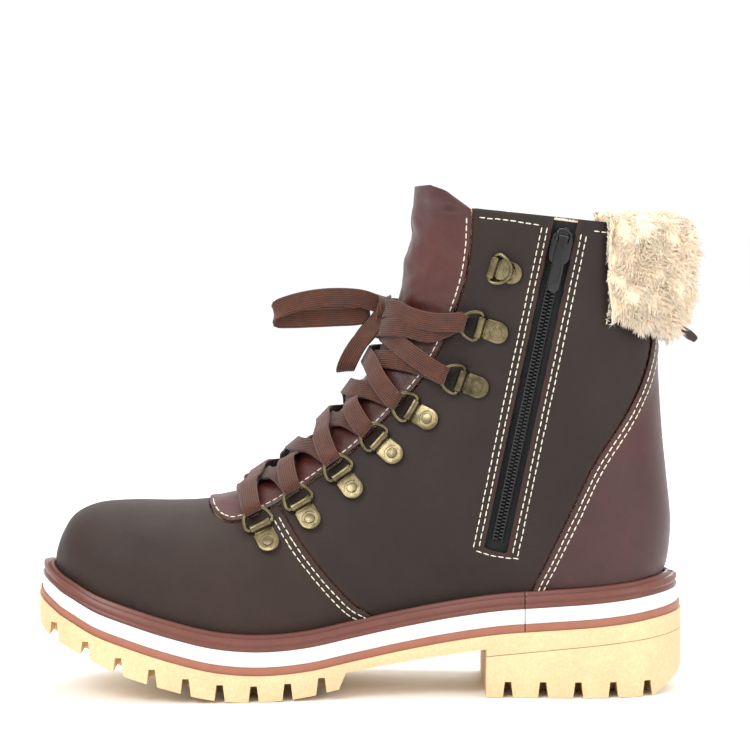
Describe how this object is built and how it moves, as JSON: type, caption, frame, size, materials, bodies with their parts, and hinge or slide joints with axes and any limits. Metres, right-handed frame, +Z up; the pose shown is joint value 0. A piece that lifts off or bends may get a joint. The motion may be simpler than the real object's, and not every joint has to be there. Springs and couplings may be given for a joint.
{
  "type": "insulated lace-up winter boot",
  "caption": "Insulated lace-up boot for the right foot: lugged crepe sole, welted leather upper, side zip, D-ring lacing, shearling lining and collar.",
  "frame": {"origin": "on the ground under the middle of the bounding box", "axes": "+Z up, -X towards the toe, -Y the medial (zip) side"},
  "size_m": [0.2906, 0.1062, 0.2214],
  "materials": {
    "crepe": "matt speckled crepe",
    "rust_rubber": "satin",
    "white_rubber": "satin",
    "welt_rubber": "satin, ribbed",
    "cork": "ground cork",
    "steel": "pressed",
    "board": "fibre board",
    "felt": "felt",
    "nubuck_vamp": "oiled nubuck",
    "nubuck_quarter": "oiled nubuck",
    "red_leather": "smooth full grain",
    "shearling": "curly pile",
    "tab_leather": "smooth",
    "zip_tape": "woven",
    "zip_coil": "moulded coil",
    "zip_metal": "gloss black",
    "lace": "flat woven",
    "brass": "antique"
  },
  "bodies": {
    "root": {"outsole": "crepe", "heel_lift": "crepe", "rust_strip": "rust_rubber", "white_strip": "white_rubber", "welt": "welt_rubber", "midsole_filler": "cork", "shank": "steel", "insole_board": "board", "footbed": "felt", "heel_counter": "board", "toe_puff": "board", "vamp": "nubuck_vamp", "tongue": "red_leather", "quarter_medial": "nubuck_quarter", "quarter_lateral": "nubuck_quarter", "heel_panel": "red_leather", "lining": "shearling", "fur_collar": "shearling", "pull_tab": "tab_leather", "zip_tape": "zip_tape", "zip_coil_front": "zip_coil", "zip_coil_rear": "zip_coil", "clip_medial_1": "brass", "clip_medial_2": "brass", "clip_medial_3": "brass", "clip_medial_4": "brass", "clip_medial_5": "brass", "clip_medial_6": "brass", "clip_medial_7": "brass", "clip_medial_8": "brass", "clip_lateral_1": "brass", "clip_lateral_2": "brass", "clip_lateral_3": "brass", "clip_lateral_4": "brass", "clip_lateral_5": "brass", "clip_lateral_6": "brass", "clip_lateral_7": "brass", "clip_lateral_8": "brass", "lace_crossings": "lace", "lace_knot": "lace", "lace_bow_front": "lace", "lace_bow_hanging": "lace"},
    "ring_medial_1": {"ring_medial_1": "brass"},
    "ring_medial_2": {"ring_medial_2": "brass"},
    "ring_medial_3": {"ring_medial_3": "brass"},
    "ring_medial_4": {"ring_medial_4": "brass"},
    "ring_medial_5": {"ring_medial_5": "brass"},
    "ring_medial_6": {"ring_medial_6": "brass"},
    "ring_medial_7": {"ring_medial_7": "brass"},
    "ring_medial_8": {"ring_medial_8": "brass"},
    "ring_lateral_1": {"ring_lateral_1": "brass"},
    "ring_lateral_2": {"ring_lateral_2": "brass"},
    "ring_lateral_3": {"ring_lateral_3": "brass"},
    "ring_lateral_4": {"ring_lateral_4": "brass"},
    "ring_lateral_5": {"ring_lateral_5": "brass"},
    "ring_lateral_6": {"ring_lateral_6": "brass"},
    "ring_lateral_7": {"ring_lateral_7": "brass"},
    "ring_lateral_8": {"ring_lateral_8": "brass"},
    "zip_slider": {"zip_slider": "zip_metal"},
    "zip_puller": {"zip_puller": "zip_metal"}
  },
  "joints": [
    {"name": "ring_medial_1_hinge", "type": "hinge", "parent": "root", "child": "ring_medial_1", "pos_m": [0.05257, -0.03797, 0.18605], "axis": [0.2873, -0.1469, 0.9465], "range_deg": [-155, 0]},
    {"name": "ring_medial_2_hinge", "type": "hinge", "parent": "root", "child": "ring_medial_2", "pos_m": [0.04701, -0.03464, 0.16018], "axis": [0.2584, -0.1494, 0.9544], "range_deg": [-3, 3]},
    {"name": "ring_medial_3_hinge", "type": "hinge", "parent": "root", "child": "ring_medial_3", "pos_m": [0.03886, -0.03119, 0.13688], "axis": [0.3362, -0.0204, 0.9416], "range_deg": [-3, 3]},
    {"name": "ring_medial_4_hinge", "type": "hinge", "parent": "root", "child": "ring_medial_4", "pos_m": [0.01767, -0.02789, 0.1241], "axis": [0.5013, 0.1146, 0.8576], "range_deg": [-3, 3]},
    {"name": "ring_medial_5_hinge", "type": "hinge", "parent": "root", "child": "ring_medial_5", "pos_m": [0.00346, -0.02942, 0.11052], "axis": [0.6673, 0.1446, 0.7306], "range_deg": [-3, 3]},
    {"name": "ring_medial_6_hinge", "type": "hinge", "parent": "root", "child": "ring_medial_6", "pos_m": [-0.01257, -0.03232, 0.09679], "axis": [0.8091, 0.1314, 0.5728], "range_deg": [-3, 3]},
    {"name": "ring_medial_7_hinge", "type": "hinge", "parent": "root", "child": "ring_medial_7", "pos_m": [-0.03012, -0.03601, 0.08413], "axis": [0.8623, 0.1377, 0.4873], "range_deg": [-3, 3]},
    {"name": "ring_medial_8_hinge", "type": "hinge", "parent": "root", "child": "ring_medial_8", "pos_m": [-0.04749, -0.03896, 0.07489], "axis": [0.8946, 0.1492, 0.4212], "range_deg": [-3, 3]},
    {"name": "ring_lateral_1_hinge", "type": "hinge", "parent": "root", "child": "ring_lateral_1", "pos_m": [0.05269, 0.03926, 0.18605], "axis": [-0.2988, -0.1319, -0.9452], "range_deg": [-155, 0]},
    {"name": "ring_lateral_2_hinge", "type": "hinge", "parent": "root", "child": "ring_lateral_2", "pos_m": [0.04715, 0.03629, 0.16017], "axis": [-0.2719, -0.1356, -0.9527], "range_deg": [-3, 3]},
    {"name": "ring_lateral_3_hinge", "type": "hinge", "parent": "root", "child": "ring_lateral_3", "pos_m": [0.03902, 0.03343, 0.13688], "axis": [-0.3426, 0.0028, -0.9395], "range_deg": [-3, 3]},
    {"name": "ring_lateral_4_hinge", "type": "hinge", "parent": "root", "child": "ring_lateral_4", "pos_m": [0.01773, 0.03137, 0.1241], "axis": [-0.5019, 0.13, -0.8551], "range_deg": [-3, 3]},
    {"name": "ring_lateral_5_hinge", "type": "hinge", "parent": "root", "child": "ring_lateral_5", "pos_m": [0.00341, 0.03294, 0.11051], "axis": [-0.666, 0.1301, -0.7345], "range_deg": [-3, 3]},
    {"name": "ring_lateral_6_hinge", "type": "hinge", "parent": "root", "child": "ring_lateral_6", "pos_m": [-0.0127, 0.03502, 0.09677], "axis": [-0.8023, 0.0863, -0.5907], "range_deg": [-3, 3]},
    {"name": "ring_lateral_7_hinge", "type": "hinge", "parent": "root", "child": "ring_lateral_7", "pos_m": [-0.03025, 0.03746, 0.08412], "axis": [-0.8559, 0.0943, -0.5085], "range_deg": [-3, 3]},
    {"name": "ring_lateral_8_hinge", "type": "hinge", "parent": "root", "child": "ring_lateral_8", "pos_m": [-0.04756, 0.03952, 0.07488], "axis": [-0.8917, 0.1263, -0.4346], "range_deg": [-3, 3]},
    {"name": "zip_slide", "type": "slide", "parent": "root", "child": "zip_slider", "axis": [-0.2042, 0.0319, -0.9784], "range_m": [0, 0.12]},
    {"name": "zip_puller_hinge", "type": "hinge", "parent": "zip_slider", "child": "zip_puller", "pos_m": [0.08256, -0.04294, 0.19894], "axis": [-0.9779, -0.0531, 0.2023], "range_deg": [0, 120]}
  ]
}
